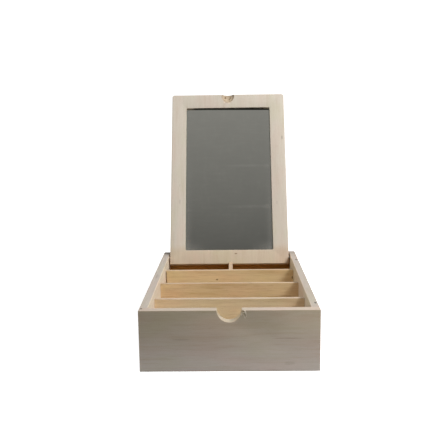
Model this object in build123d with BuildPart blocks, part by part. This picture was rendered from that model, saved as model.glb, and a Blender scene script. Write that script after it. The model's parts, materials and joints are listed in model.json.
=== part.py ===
from build123d import *
import os
from math import cos, hypot, radians, sin

# Wooden vanity box with compartments and a mirror let into its pin-hinged lid.
# The lid stands open against its stop.
# Frame: the origin is the centre of the underside, +X right, +Y rear, +Z up.
# All sizes are in millimetres.

# ---- Driving dimensions: box ----
box_width = 181.0
box_depth = 271.0
box_height = 63.5
end_wall = 9.5  # front and rear panels
side_wall = 8.5  # left and right panels
bottom_thickness = 3.0
bottom_lap = 4.0  # how far the bottom panel reaches under each wall
partition_thickness = 5.0
divider_thickness = 5.0
divider_shift = 1.75  # the divider stands this far to the right of the middle
notch_radius = 12.25
notch_shoulder_radius = 1.2
rear_corner_radius = 2.5
outer_arris = 0.6
inner_arris = 1.0
partition_arris = 0.4

# ---- Driving dimensions: lid and mirror ----
lid_thickness = 8.0
backing_thickness = 2.0
lid_open_angle = 114.5
pivot_inset = 9.3  # pivot axis to the lid's rear edge
side_border = 20.6
front_border = 20.6
rear_border = 19.2
lid_front_corner_radius = 3.0
lid_rear_corner_radius = 0.6
window_corner_radius = 2.0
lid_arris = 0.5
scoop_radius = 8.8  # where the round-bottomed scoop meets the lid's face
scoop_inset = 3.0  # scoop centre to the lid's front edge
scoop_depth = 4.0
glass_thickness = 2.0
glass_corner_radius = 1.5
glass_seam = 0.4  # ground edge round the front of the glass
tape_thickness = 0.3
tape_width = 12.0
tape_end_margin = 19.85  # tape ends to the window's front and rear edges
tape_side_margin = 13.9  # outer strips to the window's side edges

# ---- Driving dimensions: pins and brads ----
pivot_radius = 1.5
pivot_reach = 12.0  # length of pin inside the lid
brad_length = 20.0
bottom_brad_length = 14.0
brad_radius = 0.6
brad_head_radius = 1.0
brad_head_thickness = 0.5
brad_point_length = 1.5
side_brad_heights = (18.0, 42.0)
divider_brad_heights = (15.0, 35.0)
corner_brad_heights = (12.0, 30.0, 48.0)
bottom_brad_pitch_x = 60.0
bottom_brad_pitch_y = 84.0

# ---- Clearances ----
lid_side_gap = 1.5
lid_front_gap = 1.0
lid_rear_gap = 1.5
lid_seat_gap = 0.3  # closed lid to partition tops
lid_stop_gap = 0.1  # open lid to the divider's shoulder
lid_sweep_gap = 0.5  # turning lid to the floor of the divider's notch
partition_end_gap = 0.15
rear_partition_short = 0.6  # the rear partition is cut short by this on the left
bottom_gap = 0.2
glass_gap = 0.4
pin_fit = 0.02  # pins and brads in the wood that holds them
pivot_running = 0.08  # pivot pins in the lid
pivot_end_gap = 0.5

# ---- Places that follow from the sizes above ----
half_width = box_width / 2
half_depth = box_depth / 2
inner_half_width = half_width - side_wall
inner_half_depth = half_depth - end_wall
partition_top = box_height - lid_thickness - lid_seat_gap
rib_height = partition_top - bottom_thickness

partition_names = ("front_partition", "middle_partition", "rear_partition")
partition_count = len(partition_names)
row_count = partition_count + 1
row_depth = (2 * inner_half_depth - partition_count * partition_thickness) / row_count
row_pitch = row_depth + partition_thickness
partition_places = {
    name: -inner_half_depth + number * row_pitch - partition_thickness / 2
    for number, name in enumerate(partition_names, 1)
}
rear_row_start = inner_half_depth - row_depth

lid_width = 2 * (inner_half_width - lid_side_gap)
lid_rear_edge = -pivot_inset
lid_front_edge = 2 * inner_half_depth - lid_front_gap - lid_rear_gap - pivot_inset
lid_centre = (lid_front_edge + lid_rear_edge) / 2
window_width = lid_width - 2 * side_border
window_front = lid_front_edge - front_border
window_rear = lid_rear_edge + rear_border
window_length = window_front - window_rear
window_centre = (window_front + window_rear) / 2
tape_length = window_length - 2 * tape_end_margin
tape_pitch = (window_width - 2 * tape_side_margin - tape_width) / 2

pivot_y = inner_half_depth - lid_rear_gap - pivot_inset
pivot_z = box_height - lid_thickness / 2
lean = radians(lid_open_angle - 90)
lid_sweep = hypot(pivot_inset, lid_thickness / 2)
stop_y = pivot_y - pivot_inset * sin(lean) - lid_thickness / 2 * cos(lean) - lid_stop_gap
divider_notch_floor = pivot_z - lid_sweep - lid_sweep_gap

# The lid's own plane: local x across it, local y from the pivot to the front
# edge, local z out of the mirror face.
lid_plane = Plane(
    origin=(0, pivot_y, pivot_z), x_dir=(1, 0, 0), z_dir=(0, -cos(lean), sin(lean))
)
inner_face = lid_thickness / 2
outer_face = -lid_thickness / 2
lamination = outer_face + backing_thickness
glass_back = lamination + tape_thickness

left_face = Plane(origin=(-half_width, 0, 0), x_dir=(0, 1, 0), z_dir=(1, 0, 0))
right_face = Plane(origin=(half_width, 0, 0), x_dir=(0, -1, 0), z_dir=(-1, 0, 0))
rear_face = Plane(origin=(0, half_depth, 0), x_dir=(1, 0, 0), z_dir=(0, -1, 0))

os.makedirs("parts", exist_ok=True)


def save(builder, name):
    """Label a finished piece and write its STEP file."""
    builder.part.label = name
    export_step(builder.part, f"parts/{name}.step")


# ---- Brads and their holes ----


def brad(length, clearance=0.0):
    """One brad with its head at the origin and its point towards +Z."""
    shank = brad_radius + clearance
    head = brad_head_radius + clearance
    with BuildPart() as one:
        with BuildSketch(Plane.XZ):
            with BuildLine():
                Polyline(
                    (0, 0),
                    (head, 0),
                    (head, brad_head_thickness + clearance),
                    (shank, brad_head_thickness + clearance),
                    (shank, length - brad_point_length),
                    (0, length + clearance),
                    close=True,
                )
            make_face()
        revolve(axis=Axis.Z)
    return one.part


def brad_group(places, length, clearance=0.0):
    """Separate brads at a list of planes, each driven along its plane's +Z."""
    with BuildPart() as group:
        with Locations(*places):
            add(brad(length, clearance))
    return group


def moved_to(face, x, y, z):
    """A wall's outer plane, which points inwards, moved to a point on it."""
    return Plane(origin=(x, y, z), x_dir=face.x_dir, z_dir=face.z_dir)


def side_places(face):
    """Where brads go through a side wall into the ends of the partitions."""
    return [
        moved_to(face, face.origin.X, y, z)
        for y in partition_places.values()
        for z in side_brad_heights
    ]


lap_middle_x = inner_half_width + bottom_lap / 2
lap_middle_y = inner_half_depth + bottom_lap / 2
steps = (-1, 0, 1)
bottom_places = []
for side in (-1, 1):
    for step in steps:
        bottom_places.append(Plane(origin=(step * bottom_brad_pitch_x, side * lap_middle_y, 0)))
        bottom_places.append(Plane(origin=(side * lap_middle_x, step * bottom_brad_pitch_y, 0)))

rear_places = [moved_to(rear_face, divider_shift, half_depth, z) for z in divider_brad_heights]
for x in (side_wall / 2 - half_width, half_width - side_wall / 2):
    rear_places += [moved_to(rear_face, x, half_depth, z) for z in corner_brad_heights]

brad_rows = {
    "bottom_brads": (bottom_places, bottom_brad_length),
    "left_side_brads": (side_places(left_face), brad_length),
    "right_side_brads": (side_places(right_face), brad_length),
    "rear_brads": (rear_places, brad_length),
}
brad_holes = {}
for name, (places, length) in brad_rows.items():
    save(brad_group(places, length), name)
    brad_holes[name] = brad_group(places, length, pin_fit).part


# ---- Box walls ----

# The rebate that the bottom panel lies in, cut from all four walls.
with BuildPart() as bottom_rebate:
    with BuildSketch(Plane.XY):
        Rectangle(2 * (inner_half_width + bottom_lap), 2 * (inner_half_depth + bottom_lap))
    extrude(amount=bottom_thickness)

with BuildPart() as front_panel:
    with BuildSketch(Plane.XZ.offset(inner_half_depth)) as front_outline:
        with Locations((0, box_height / 2)):
            Rectangle(box_width, box_height)
        with Locations((0, box_height)):
            Circle(notch_radius, mode=Mode.SUBTRACT)
        top_corners = front_outline.vertices().group_by(Axis.Y)[-1]
        fillet(top_corners.sort_by(Axis.X)[1:-1], notch_shoulder_radius)
    extrude(amount=end_wall)
    front_edges = front_panel.faces().sort_by(Axis.Y)[0].edges()
    end_edges = front_panel.edges().filter_by(Axis.Y).group_by(Axis.Z)[-1]
    fillet(front_edges + end_edges, outer_arris)
    add(bottom_rebate.part, mode=Mode.SUBTRACT)
    add(brad_holes["bottom_brads"], mode=Mode.SUBTRACT)
save(front_panel, "front_panel")

with BuildPart() as rear_panel:
    with BuildSketch(Plane.XY) as rear_outline:
        with Locations((0, inner_half_depth + end_wall / 2)):
            Rectangle(box_width, end_wall)
        fillet(rear_outline.vertices().group_by(Axis.Y)[-1], rear_corner_radius)
    extrude(amount=box_height)
    fillet(rear_panel.faces().sort_by(Axis.Z)[-1].edges().sort_by(Axis.Y)[1:], outer_arris)
    add(bottom_rebate.part, mode=Mode.SUBTRACT)
    add(brad_holes["bottom_brads"], mode=Mode.SUBTRACT)
    add(brad_holes["rear_brads"], mode=Mode.SUBTRACT)
save(rear_panel, "rear_panel")


def side_panel(face, brads):
    """One side wall, drilled for its pivot pin, between the front and rear panels."""
    with BuildPart() as panel:
        with BuildSketch(face):
            with Locations((0, box_height / 2)):
                Rectangle(2 * inner_half_depth, box_height)
        extrude(amount=side_wall)
        lengthways = panel.edges().filter_by(Axis.Y)
        outer_edges = lengthways.sort_by(lambda edge: abs(edge.center().X))[-2:]
        top_edges = lengthways.sort_by(Axis.Z)[-2:]
        inner_top = top_edges.sort_by(lambda edge: abs(edge.center().X))[0]
        fillet(outer_edges, outer_arris)
        fillet(inner_top, inner_arris)
        add(bottom_rebate.part, mode=Mode.SUBTRACT)
        with BuildSketch(moved_to(face, face.origin.X, pivot_y, pivot_z)):
            Circle(pivot_radius + pin_fit)
        extrude(amount=side_wall, mode=Mode.SUBTRACT)
        for holes in (brads, "bottom_brads", "rear_brads"):
            add(brad_holes[holes], mode=Mode.SUBTRACT)
    return panel


save(side_panel(left_face, "left_side_brads"), "left_side_panel")
save(side_panel(right_face, "right_side_brads"), "right_side_panel")

with BuildPart() as bottom_panel:
    with BuildSketch(Plane.XY):
        Rectangle(
            2 * (inner_half_width + bottom_lap - bottom_gap),
            2 * (inner_half_depth + bottom_lap - bottom_gap),
        )
    extrude(amount=bottom_thickness)
    add(brad_holes["bottom_brads"], mode=Mode.SUBTRACT)
save(bottom_panel, "bottom_panel")

# ---- Partitions and divider ----

for name, place in partition_places.items():
    left_cut = rear_partition_short if name == "rear_partition" else 0.0
    left_end = -inner_half_width + partition_end_gap + left_cut
    right_end = inner_half_width - partition_end_gap
    with BuildPart() as partition:
        with BuildSketch(Plane.XY.offset(bottom_thickness)):
            with Locations(((left_end + right_end) / 2, place)):
                Rectangle(right_end - left_end, partition_thickness)
        extrude(amount=rib_height)
        top_face = partition.faces().sort_by(Axis.Z)[-1]
        fillet(top_face.edges().filter_by(Axis.X), partition_arris)
        add(brad_holes["left_side_brads"], mode=Mode.SUBTRACT)
        add(brad_holes["right_side_brads"], mode=Mode.SUBTRACT)
    save(partition, name)

with BuildPart() as centre_divider:
    with BuildSketch(Plane.YZ.offset(divider_shift - divider_thickness / 2)):
        with BuildLine():
            Polyline(
                (rear_row_start, bottom_thickness),
                (inner_half_depth, bottom_thickness),
                (inner_half_depth, divider_notch_floor),
                (stop_y, divider_notch_floor),
                (stop_y, partition_top),
                (rear_row_start, partition_top),
                close=True,
            )
        make_face()
    extrude(amount=divider_thickness)
    fillet(centre_divider.edges().filter_by(Axis.Y).group_by(Axis.Z)[-1], partition_arris)
    add(brad_holes["rear_brads"], mode=Mode.SUBTRACT)
save(centre_divider, "centre_divider")

# ---- Lid ----


def lid_outline(height):
    """The lid's outline with rounded corners, at a height in the lid's plane."""
    with BuildSketch(lid_plane.offset(height)) as outline:
        with Locations((0, lid_centre)):
            Rectangle(lid_width, lid_front_edge - lid_rear_edge)
        fillet(outline.vertices().group_by(Axis.Y)[-1], lid_front_corner_radius)
        fillet(outline.vertices().group_by(Axis.Y)[0], lid_rear_corner_radius)
    return outline.sketch


def window_outline(height, gap, corner_radius):
    """The mirror window's outline, made smaller by a gap all round."""
    with BuildSketch(lid_plane.offset(height)) as outline:
        with Locations((0, window_centre)):
            RectangleRounded(window_width - 2 * gap, window_length - 2 * gap, corner_radius)
    return outline.sketch


frame_outline = lid_outline(lamination)
backing_outline = lid_outline(outer_face)
frame_window = window_outline(lamination, 0.0, window_corner_radius)
glass_outline = window_outline(glass_back, glass_gap, glass_corner_radius)
lid_normal = Axis(lid_plane.origin, lid_plane.z_dir)

scoop_ball_radius = (scoop_radius**2 + scoop_depth**2) / (2 * scoop_depth)
scoop_ball_plane = lid_plane.offset(inner_face - scoop_depth + scoop_ball_radius)
with BuildPart() as scoop:
    with Locations(scoop_ball_plane.location * Location((0, lid_front_edge - scoop_inset, 0))):
        Sphere(scoop_ball_radius)

with BuildPart() as lid_frame:
    extrude(frame_outline, amount=inner_face - lamination)
    extrude(frame_window, amount=inner_face - lamination, mode=Mode.SUBTRACT)
    fillet(lid_frame.faces().sort_by(lid_normal)[-1].edges(), lid_arris)
    add(scoop.part, mode=Mode.SUBTRACT)
    for side in (-1, 1):
        lid_side = Plane(origin=(side * lid_width / 2, pivot_y, pivot_z), z_dir=(-side, 0, 0))
        with BuildSketch(lid_side):
            Circle(pivot_radius + pivot_running)
        extrude(amount=pivot_reach + pivot_end_gap, mode=Mode.SUBTRACT)
save(lid_frame, "lid_frame")

with BuildPart() as lid_backing:
    extrude(backing_outline, amount=backing_thickness)
    fillet(lid_backing.faces().sort_by(lid_normal)[0].edges(), outer_arris)
save(lid_backing, "lid_backing")

with BuildPart() as mirror_glass:
    extrude(glass_outline, amount=glass_thickness)
    chamfer(mirror_glass.faces().sort_by(lid_normal)[-1].edges(), glass_seam)
save(mirror_glass, "mirror_glass")

with BuildPart() as mirror_tape:
    with BuildSketch(lid_plane.offset(lamination)):
        with Locations((0, window_centre)):
            with GridLocations(tape_pitch, 0, 3, 1):
                Rectangle(tape_width, tape_length)
    extrude(amount=tape_thickness)
save(mirror_tape, "mirror_tape")

# ---- Pivot pins, held in the side walls ----

for name, face in (("left_pivot_pin", left_face), ("right_pivot_pin", right_face)):
    with BuildPart() as pivot_pin:
        with BuildSketch(moved_to(face, face.origin.X, pivot_y, pivot_z)):
            Circle(pivot_radius)
        extrude(amount=side_wall + lid_side_gap + pivot_reach)
    save(pivot_pin, name)
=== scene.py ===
import json
import math

import bpy
from mathutils import Matrix, Vector


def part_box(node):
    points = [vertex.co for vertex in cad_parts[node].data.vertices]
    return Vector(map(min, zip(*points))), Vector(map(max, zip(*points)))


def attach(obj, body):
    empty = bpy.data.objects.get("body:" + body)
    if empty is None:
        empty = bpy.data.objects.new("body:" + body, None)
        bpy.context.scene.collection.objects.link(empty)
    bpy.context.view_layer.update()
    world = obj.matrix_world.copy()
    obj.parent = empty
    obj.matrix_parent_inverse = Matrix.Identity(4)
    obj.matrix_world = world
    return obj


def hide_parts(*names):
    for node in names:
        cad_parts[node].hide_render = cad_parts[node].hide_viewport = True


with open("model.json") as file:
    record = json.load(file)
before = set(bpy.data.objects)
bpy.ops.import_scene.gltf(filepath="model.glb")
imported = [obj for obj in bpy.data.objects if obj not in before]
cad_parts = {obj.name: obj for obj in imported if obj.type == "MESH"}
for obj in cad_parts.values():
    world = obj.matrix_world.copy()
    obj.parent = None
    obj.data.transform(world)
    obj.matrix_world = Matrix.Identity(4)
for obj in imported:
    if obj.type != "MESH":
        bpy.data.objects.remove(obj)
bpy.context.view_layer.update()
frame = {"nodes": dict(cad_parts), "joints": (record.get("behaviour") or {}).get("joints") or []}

bl_info = {
    "name": "Wooden vanity box",
    "version": (1, 0, 0),
    "blender": (4, 5, 0),
    "location": "3D View > Sidebar > Vanity box",
    "description": "Finishes the boards, the mirror and the fittings of a wooden vanity box",
    "category": "Object",
}

# ---- Places taken from the frame, in metres ----

hinge = frame["joints"][0]
LID_PIVOT = Vector(hinge["pos_m"])
LID_TURN = math.pi - math.radians(hinge["range_deg"][1])
FRONT_LOW, FRONT_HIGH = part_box("front_panel")
RIM = FRONT_HIGH.z
FRONT_FACE = FRONT_LOW.y
FLOOR_LOW, FLOOR_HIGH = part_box("bottom_panel")

# Grain along the width, or along the depth.
ACROSS = 0.0
LENGTHWAYS = -math.pi / 2

# Directions, as places in a row of three numbers.
X, Y, Z = range(3)

# How finely round shapes are divided.
ROUND_SIDES = 128
HOLE_SIDES = 48
BRAD_HOLE_SIDES = 24
CORNER_STEPS = 6
ARRIS_STEPS = 3
SEAM_STEPS = 2
SMOOTH_ANGLE = math.radians(32)

# ---- Workshop allowances, in metres ----

# How far a cutting tool stands past what it cuts.
PAST = 0.001
REBATE_PLAY = 0.0002
BRAD_HOLE = 0.00062
BRAD_SPREAD = 0.06
FRONT_BRAD_LINE = -0.128
FRONT_BRAD_MIDDLE = 0.0075
FRONT_BRAD_DRILLING = 0.0131
NOTCH_CUT = 0.012
WINDOW_CUT = 0.01


# ---- Sizes and colours that a maker would change ----


def length(name, description, default):
    return bpy.props.FloatProperty(name=name, description=description, default=default, unit="LENGTH")


class VanityBoxSizes(bpy.types.PropertyGroup):
    """Sizes of the pieces that are modelled here."""

    notch_radius: length("Notch radius", "Radius of the finger notch in the front", 0.01225)
    shoulder_radius: length("Shoulder radius", "Where the notch meets the top edge", 0.0012)
    front_arris: length("Front arris", "Sanded rounding on the front's outer edges", 0.0006)
    lid_width: length("Lid width", "Width of the lid", 0.161)
    lid_rear: length("Lid rear edge", "Forwards from the pivot to the rear edge", -0.0093)
    lid_front: length("Lid front edge", "Forwards from the pivot to the front edge", 0.2402)
    lid_face: length("Lid face height", "From the pivot up to the lid's mirror face", 0.004)
    backing_thickness: length("Backing thickness", "Thickness of the sheet behind the mirror", 0.002)
    side_border: length("Side border", "Width of the wood beside the mirror", 0.0206)
    front_border: length("Front border", "Width of the wood before the mirror", 0.0206)
    rear_border: length("Rear border", "Width of the wood behind the mirror", 0.0192)
    lid_front_corner: length("Lid front corner radius", "Corners beside the finger scoop", 0.003)
    lid_rear_corner: length("Lid rear corner radius", "Corners beside the pivots", 0.0006)
    window_corner: length("Window corner radius", "Corners of the mirror's window", 0.002)
    lid_arris: length("Lid arris", "Sanded rounding round the lid's mirror face", 0.0005)
    scoop_radius: length("Scoop radius", "Radius of the finger scoop at the lid's face", 0.0088)
    scoop_inset: length("Scoop inset", "From the scoop's centre to the front edge", 0.003)
    scoop_depth: length("Scoop depth", "Depth of the finger scoop", 0.004)
    pivot_hole: length("Pivot hole radius", "Holes that turn on the pins", 0.00158)
    pivot_hole_depth: length("Pivot hole depth", "How deep those holes are", 0.0125)
    glass_gap: length("Glass gap", "Room round the mirror in its window", 0.0004)
    glass_back: length("Glass back", "Height of the mirror's back above the pivot", -0.0017)
    glass_thickness: length("Glass thickness", "Thickness of the mirror", 0.002)
    glass_corner: length("Glass corner radius", "Corners of the mirror", 0.0015)
    glass_seam: length("Glass seam", "Width of the ground edge round the mirror's face", 0.0004)


def colour_choice(name, description, default):
    return bpy.props.FloatVectorProperty(
        name=name, description=description, default=default, subtype="COLOR", size=3, min=0.0, max=1.0
    )


class VanityBoxColours(bpy.types.PropertyGroup):
    """Linear colours of the bare wood, the mirror and the fittings."""

    wall_wood: colour_choice("Wall wood", "The box's front, side and rear boards", (0.78, 0.70, 0.59))
    partition_wood: colour_choice("Partition wood", "The partitions and the divider", (0.78, 0.605, 0.37))
    lid_wood: colour_choice("Lid wood", "The lid's frame and its backing", (0.67, 0.61, 0.533))
    base_wood: colour_choice("Base wood", "The thin bottom sheet", (0.56, 0.43, 0.28))
    silver: colour_choice("Silver", "The mirror's reflecting layer", (0.85, 0.84, 0.81))
    glass_edge: colour_choice("Glass edge", "The ground edge of the mirror", (0.22, 0.30, 0.25))
    steel: colour_choice("Steel", "Pivot pins and brads", (0.50, 0.49, 0.47))
    tape: colour_choice("Tape", "Foam tape behind the mirror", (0.78, 0.77, 0.72))


# ---- Modelling by hand ----


def deselect_all():
    bpy.ops.object.select_all(action="DESELECT")


def take_up(piece):
    """Make one piece the only one selected."""
    deselect_all()
    piece.select_set(True)
    bpy.context.view_layer.objects.active = piece


def settle(name):
    """Name the new primitive and put its place into its mesh."""
    piece = bpy.context.object
    piece.name = name
    piece.data.name = name
    bpy.ops.object.transform_apply(location=True, rotation=True, scale=True)
    return piece


def add_block(name, low, high, turn=(0, 0, 0)):
    """A square-edged block between two corners."""
    deselect_all()
    low, high = Vector(low), Vector(high)
    bpy.ops.mesh.primitive_cube_add(size=1, location=(low + high) / 2, scale=high - low, rotation=turn)
    return settle(name)


def add_rod(name, radius, middle, length, axis, sides=ROUND_SIDES):
    """A round bar along one axis."""
    turns = {"X": (0, math.pi / 2, 0), "Y": (math.pi / 2, 0, 0), "Z": (0, 0, 0)}
    deselect_all()
    bpy.ops.mesh.primitive_cylinder_add(
        vertices=sides, radius=radius, depth=length, location=middle, rotation=turns[axis]
    )
    return settle(name)


def add_ball(name, radius, middle):
    """A finely divided ball."""
    deselect_all()
    bpy.ops.mesh.primitive_uv_sphere_add(
        segments=ROUND_SIDES, ring_count=ROUND_SIDES // 2, radius=radius, location=middle
    )
    return settle(name)


def add_pit(name, middle, sizes, turn=(0, 0, 0)):
    """A rounded lump, used to hollow out a small pit."""
    deselect_all()
    bpy.ops.mesh.primitive_ico_sphere_add(
        subdivisions=3, radius=1, location=middle, scale=sizes, rotation=turn
    )
    return settle(name)


def bevel_edges(piece, wanted, width, segments=ARRIS_STEPS):
    """Round the edges whose two ends pass a test."""
    take_up(piece)
    bpy.context.tool_settings.mesh_select_mode = (False, True, False)
    mesh = piece.data
    for vertex in mesh.vertices:
        vertex.select = False
    for face in mesh.polygons:
        face.select = False
    for edge in mesh.edges:
        start, end = (mesh.vertices[index].co for index in edge.vertices)
        edge.select = wanted(start, end)
    bpy.ops.object.mode_set(mode="EDIT")
    bpy.ops.mesh.bevel(offset=width, segments=segments, affect="EDGES")
    bpy.ops.object.mode_set(mode="OBJECT")


def round_corners(piece, radius, at_end=lambda y: True):
    """Round a flat piece's upright corners, at both ends or at one."""

    def upright(start, end):
        return close_to(start.x, end.x) and close_to(start.y, end.y) and at_end(start.y)

    bevel_edges(piece, upright, radius, CORNER_STEPS)


def round_face(piece, height, width, steps=ARRIS_STEPS):
    """Round the edges of a flat piece's upper face."""

    def on_top(start, end):
        return close_to(start.z, height) and close_to(end.z, height)

    bevel_edges(piece, on_top, width, steps)


def combine(piece, tool, operation="DIFFERENCE"):
    """Cut, join or keep what a tool covers, and take the tool away."""
    take_up(piece)
    change = piece.modifiers.new("change", "BOOLEAN")
    change.operation = operation
    change.solver = "EXACT"
    change.object = tool
    bpy.ops.object.modifier_apply(modifier=change.name)
    bpy.data.objects.remove(tool, do_unlink=True)


def smooth(piece):
    take_up(piece)
    bpy.ops.object.shade_smooth_by_angle(angle=SMOOTH_ANGLE)


def close_to(value, target):
    """True where two places are the same but for rounding."""
    return abs(value - target) < 1e-5


def place_on_lid(piece):
    """Turn a piece that was modelled lying flat into the open lid's place."""
    take_up(piece)
    piece.location = LID_PIVOT
    piece.rotation_euler = (LID_TURN, 0, 0)
    bpy.ops.object.transform_apply(location=True, rotation=True, scale=True)


def finish_piece(piece, finish, body, slot, *nodes):
    """Give a new piece its finish and its body, and hide the nodes that it stands for. The slot is not
    used.
    """
    piece.data.materials.clear()
    piece.data.materials.append(finish)
    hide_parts(*nodes)
    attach(piece, body)


def refinish_node(name, finish):
    """Give a node of the frame its finish."""
    frame["nodes"][name].material_slots[0].material = finish


# ---- Material building ----


def feed(tree, node, inputs):
    """Set a node's inputs. Each is a value, or another node's output to link."""
    for key, value in inputs.items():
        if isinstance(value, bpy.types.NodeSocket):
            tree.links.new(value, node.inputs[key])
        else:
            node.inputs[key].default_value = value


def add_node(tree, kind, inputs=None, **settings):
    """Add a node with its settings and inputs."""
    made = tree.nodes.new(kind)
    for key, value in settings.items():
        setattr(made, key, value)
    feed(tree, made, inputs or {})
    return made


def new_finish(name):
    """A material with nothing but its surface shader."""
    finish = bpy.data.materials.new(name)
    finish.use_nodes = True
    return finish, finish.node_tree, finish.node_tree.nodes["Principled BSDF"]


def maths(tree, operation, first, second=0.0, third=0.0):
    return add_node(
        tree, "ShaderNodeMath", {0: first, 1: second, 2: third}, operation=operation
    ).outputs[0]


def vectors(tree, operation, first, second=(0, 0, 0)):
    made = add_node(tree, "ShaderNodeVectorMath", {0: first, 1: second}, operation=operation)
    return made.outputs["Value" if operation in ("LENGTH", "DOT_PRODUCT", "DISTANCE") else "Vector"]


def spread(tree, value, low, high, to_low=0.0, to_high=1.0):
    """Bring a value's range to another range, with soft ends."""
    made = add_node(
        tree,
        "ShaderNodeMapRange",
        {"Value": value, "From Min": low, "From Max": high, "To Min": to_low, "To Max": to_high},
        interpolation_type="SMOOTHSTEP",
    )
    return made.outputs["Result"]


def blend(tree, factor, first, second, kind="MIX"):
    """Mix two colours."""
    return add_node(
        tree, "ShaderNodeMix", {0: factor, 6: first, 7: second}, data_type="RGBA", blend_type=kind
    ).outputs[2]


def colour(values, shade=(1.0, 1.0, 1.0)):
    return (values[0] * shade[0], values[1] * shade[1], values[2] * shade[2], 1.0)


def stretched(tree, coordinates, along, offset=(0, 0, 0)):
    """Coordinates drawn out along the grain."""
    inputs = {"Vector": coordinates, "Scale": (along, 1, 1), "Location": offset}
    return add_node(tree, "ShaderNodeMapping", inputs).outputs[0]


def split(tree, vector):
    """A vector's three parts."""
    return add_node(tree, "ShaderNodeSeparateXYZ", {0: vector}).outputs


def noise(tree, coordinates, scale, detail, roughness):
    inputs = {"Vector": coordinates, "Scale": scale, "Detail": detail, "Roughness": roughness}
    return add_node(tree, "ShaderNodeTexNoise", inputs).outputs["Fac"]


def wander(tree, coordinates, scale, reach):
    """A vector that wanders smoothly about zero, as far as its reach in each direction."""
    inputs = {"Vector": coordinates, "Scale": scale, "Detail": 1.0}
    vector = add_node(tree, "ShaderNodeTexNoise", inputs).outputs["Color"]
    return vectors(tree, "MULTIPLY", vectors(tree, "SUBTRACT", vector, (0.5, 0.5, 0.5)), reach)


def on_lid_board(tree, coordinates):
    """Coordinates of the open lid as if it lay flat, from its pivot."""
    inputs = {"Vector": coordinates, "Location": LID_PIVOT, "Rotation": (LID_TURN, 0, 0)}
    return add_node(tree, "ShaderNodeMapping", inputs, vector_type="TEXTURE").outputs[0]


def turned(tree, coordinates, angle, offset=(0, 0, 0)):
    """Coordinates turned about the upright."""
    inputs = {"Vector": coordinates, "Rotation": (0, 0, angle), "Location": offset}
    return add_node(tree, "ShaderNodeMapping", inputs).outputs[0]


def bumps(tree, height, strength, depth):
    """The normal of a surface that rises and falls with a height."""
    inputs = {"Strength": strength, "Distance": depth, "Height": height}
    return add_node(tree, "ShaderNodeBump", inputs).outputs["Normal"]


def spot(tree, coordinates, middle, sizes, softness=0.5):
    """1 inside an ellipsoid, falling softly to 0 at its edge."""
    away = vectors(tree, "SUBTRACT", coordinates, middle)
    reach = vectors(tree, "LENGTH", vectors(tree, "DIVIDE", away, sizes))
    return spread(tree, reach, 1.0 - softness, 1.0, 1.0, 0.0)


def patch(tree, coordinates, middle, half_sizes, softness=0.3):
    """1 inside a box, falling softly to 0 at its faces."""
    away = vectors(tree, "ABSOLUTE", vectors(tree, "SUBTRACT", coordinates, middle))
    reach = split(tree, vectors(tree, "DIVIDE", away, half_sizes))
    farthest = maths(tree, "MAXIMUM", reach[0], maths(tree, "MAXIMUM", reach[1], reach[2]))
    return spread(tree, farthest, 1.0 - softness, 1.0, 1.0, 0.0)


def ring(tree, coordinates, middle, sizes, softness=0.5):
    """1 along a circle's line that lies flat, given its radius, its half width and its half height."""
    away = split(tree, vectors(tree, "SUBTRACT", coordinates, middle))
    flat = add_node(tree, "ShaderNodeCombineXYZ", {0: away[0], 1: away[1]}).outputs[0]
    across = maths(tree, "SUBTRACT", vectors(tree, "LENGTH", flat), sizes[0])
    tube = add_node(tree, "ShaderNodeCombineXYZ", {0: across, 1: away[2]}).outputs[0]
    return spot(tree, tube, (0, 0, 0), (sizes[1], sizes[2], 1), softness)


def crescent(tree, coordinates, middle, sizes, softness=0.5):
    """The right half of a ring."""
    whole = ring(tree, coordinates, middle, sizes, softness)
    away = split(tree, vectors(tree, "SUBTRACT", coordinates, middle))
    return maths(tree, "MULTIPLY", whole, spread(tree, away[0], -0.25 * sizes[0], 0.25 * sizes[0]))


def streak(tree, coordinates, start, sizes, softness=0.6):
    """1 along a line, given its end and its radius, falling softly to 0 beside it."""
    end, radius = sizes
    run = Vector(end) - Vector(start)
    away = vectors(tree, "SUBTRACT", coordinates, start)
    along = vectors(tree, "DOT_PRODUCT", away, tuple(run))
    part = maths(tree, "DIVIDE", along, run.length_squared)
    held = add_node(tree, "ShaderNodeClamp", {"Value": part}).outputs[0]
    nearest = vectors(tree, "MULTIPLY", held, tuple(run))
    reach = maths(tree, "DIVIDE", vectors(tree, "DISTANCE", away, nearest), radius)
    return spread(tree, reach, 1.0 - softness, 1.0, 1.0, 0.0)


def near_arris(tree, coordinates, low, high, width):
    """1 along a board's edges, falling to 0 at a width inside them."""
    low, high = Vector(low), Vector(high)
    middle, half = (low + high) / 2, (high - low) / 2
    offset = vectors(tree, "ABSOLUTE", vectors(tree, "SUBTRACT", coordinates, tuple(middle)))
    depth = vectors(tree, "SUBTRACT", tuple(half), offset)
    parts = split(tree, depth)
    least = maths(tree, "MINIMUM", parts[0], parts[1])
    most = maths(tree, "MAXIMUM", parts[0], parts[1])
    second = maths(tree, "MAXIMUM", least, maths(tree, "MINIMUM", most, parts[2]))
    return spread(tree, second, 0.0, width, 1.0, 0.0)


# What a wood's tone is multiplied by in each part of its figure.
LATE_WOOD = (0.87, 0.82, 0.74)
DARK_FIBRE = (0.80, 0.74, 0.66)
PALE_BAND = (1.05, 1.05, 1.05)
ROSY = (1.02, 0.95, 0.95)
OLIVE = (0.96, 0.99, 0.92)
END_GRAIN = (0.90, 0.84, 0.76)
WORN = (1.10, 1.09, 1.07)
# Painted shade: the rims, the box's outer faces and the partitions' tops are made darker and greyer for how
# the light falls on them.
RIM_PAINTED_SHADE = (0.65, 0.65, 0.695)
FRONT_RIM_PAINTED_SHADE = (0.718, 0.675, 0.69)
OUTER_PAINTED_SHADE = (0.615, 0.575, 0.588)
PARTITION_TOP_PAINTED_SHADE = (0.70, 0.70, 0.82)

# How deep a board's skin of another tone is.
SKIN = 0.0002

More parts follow.
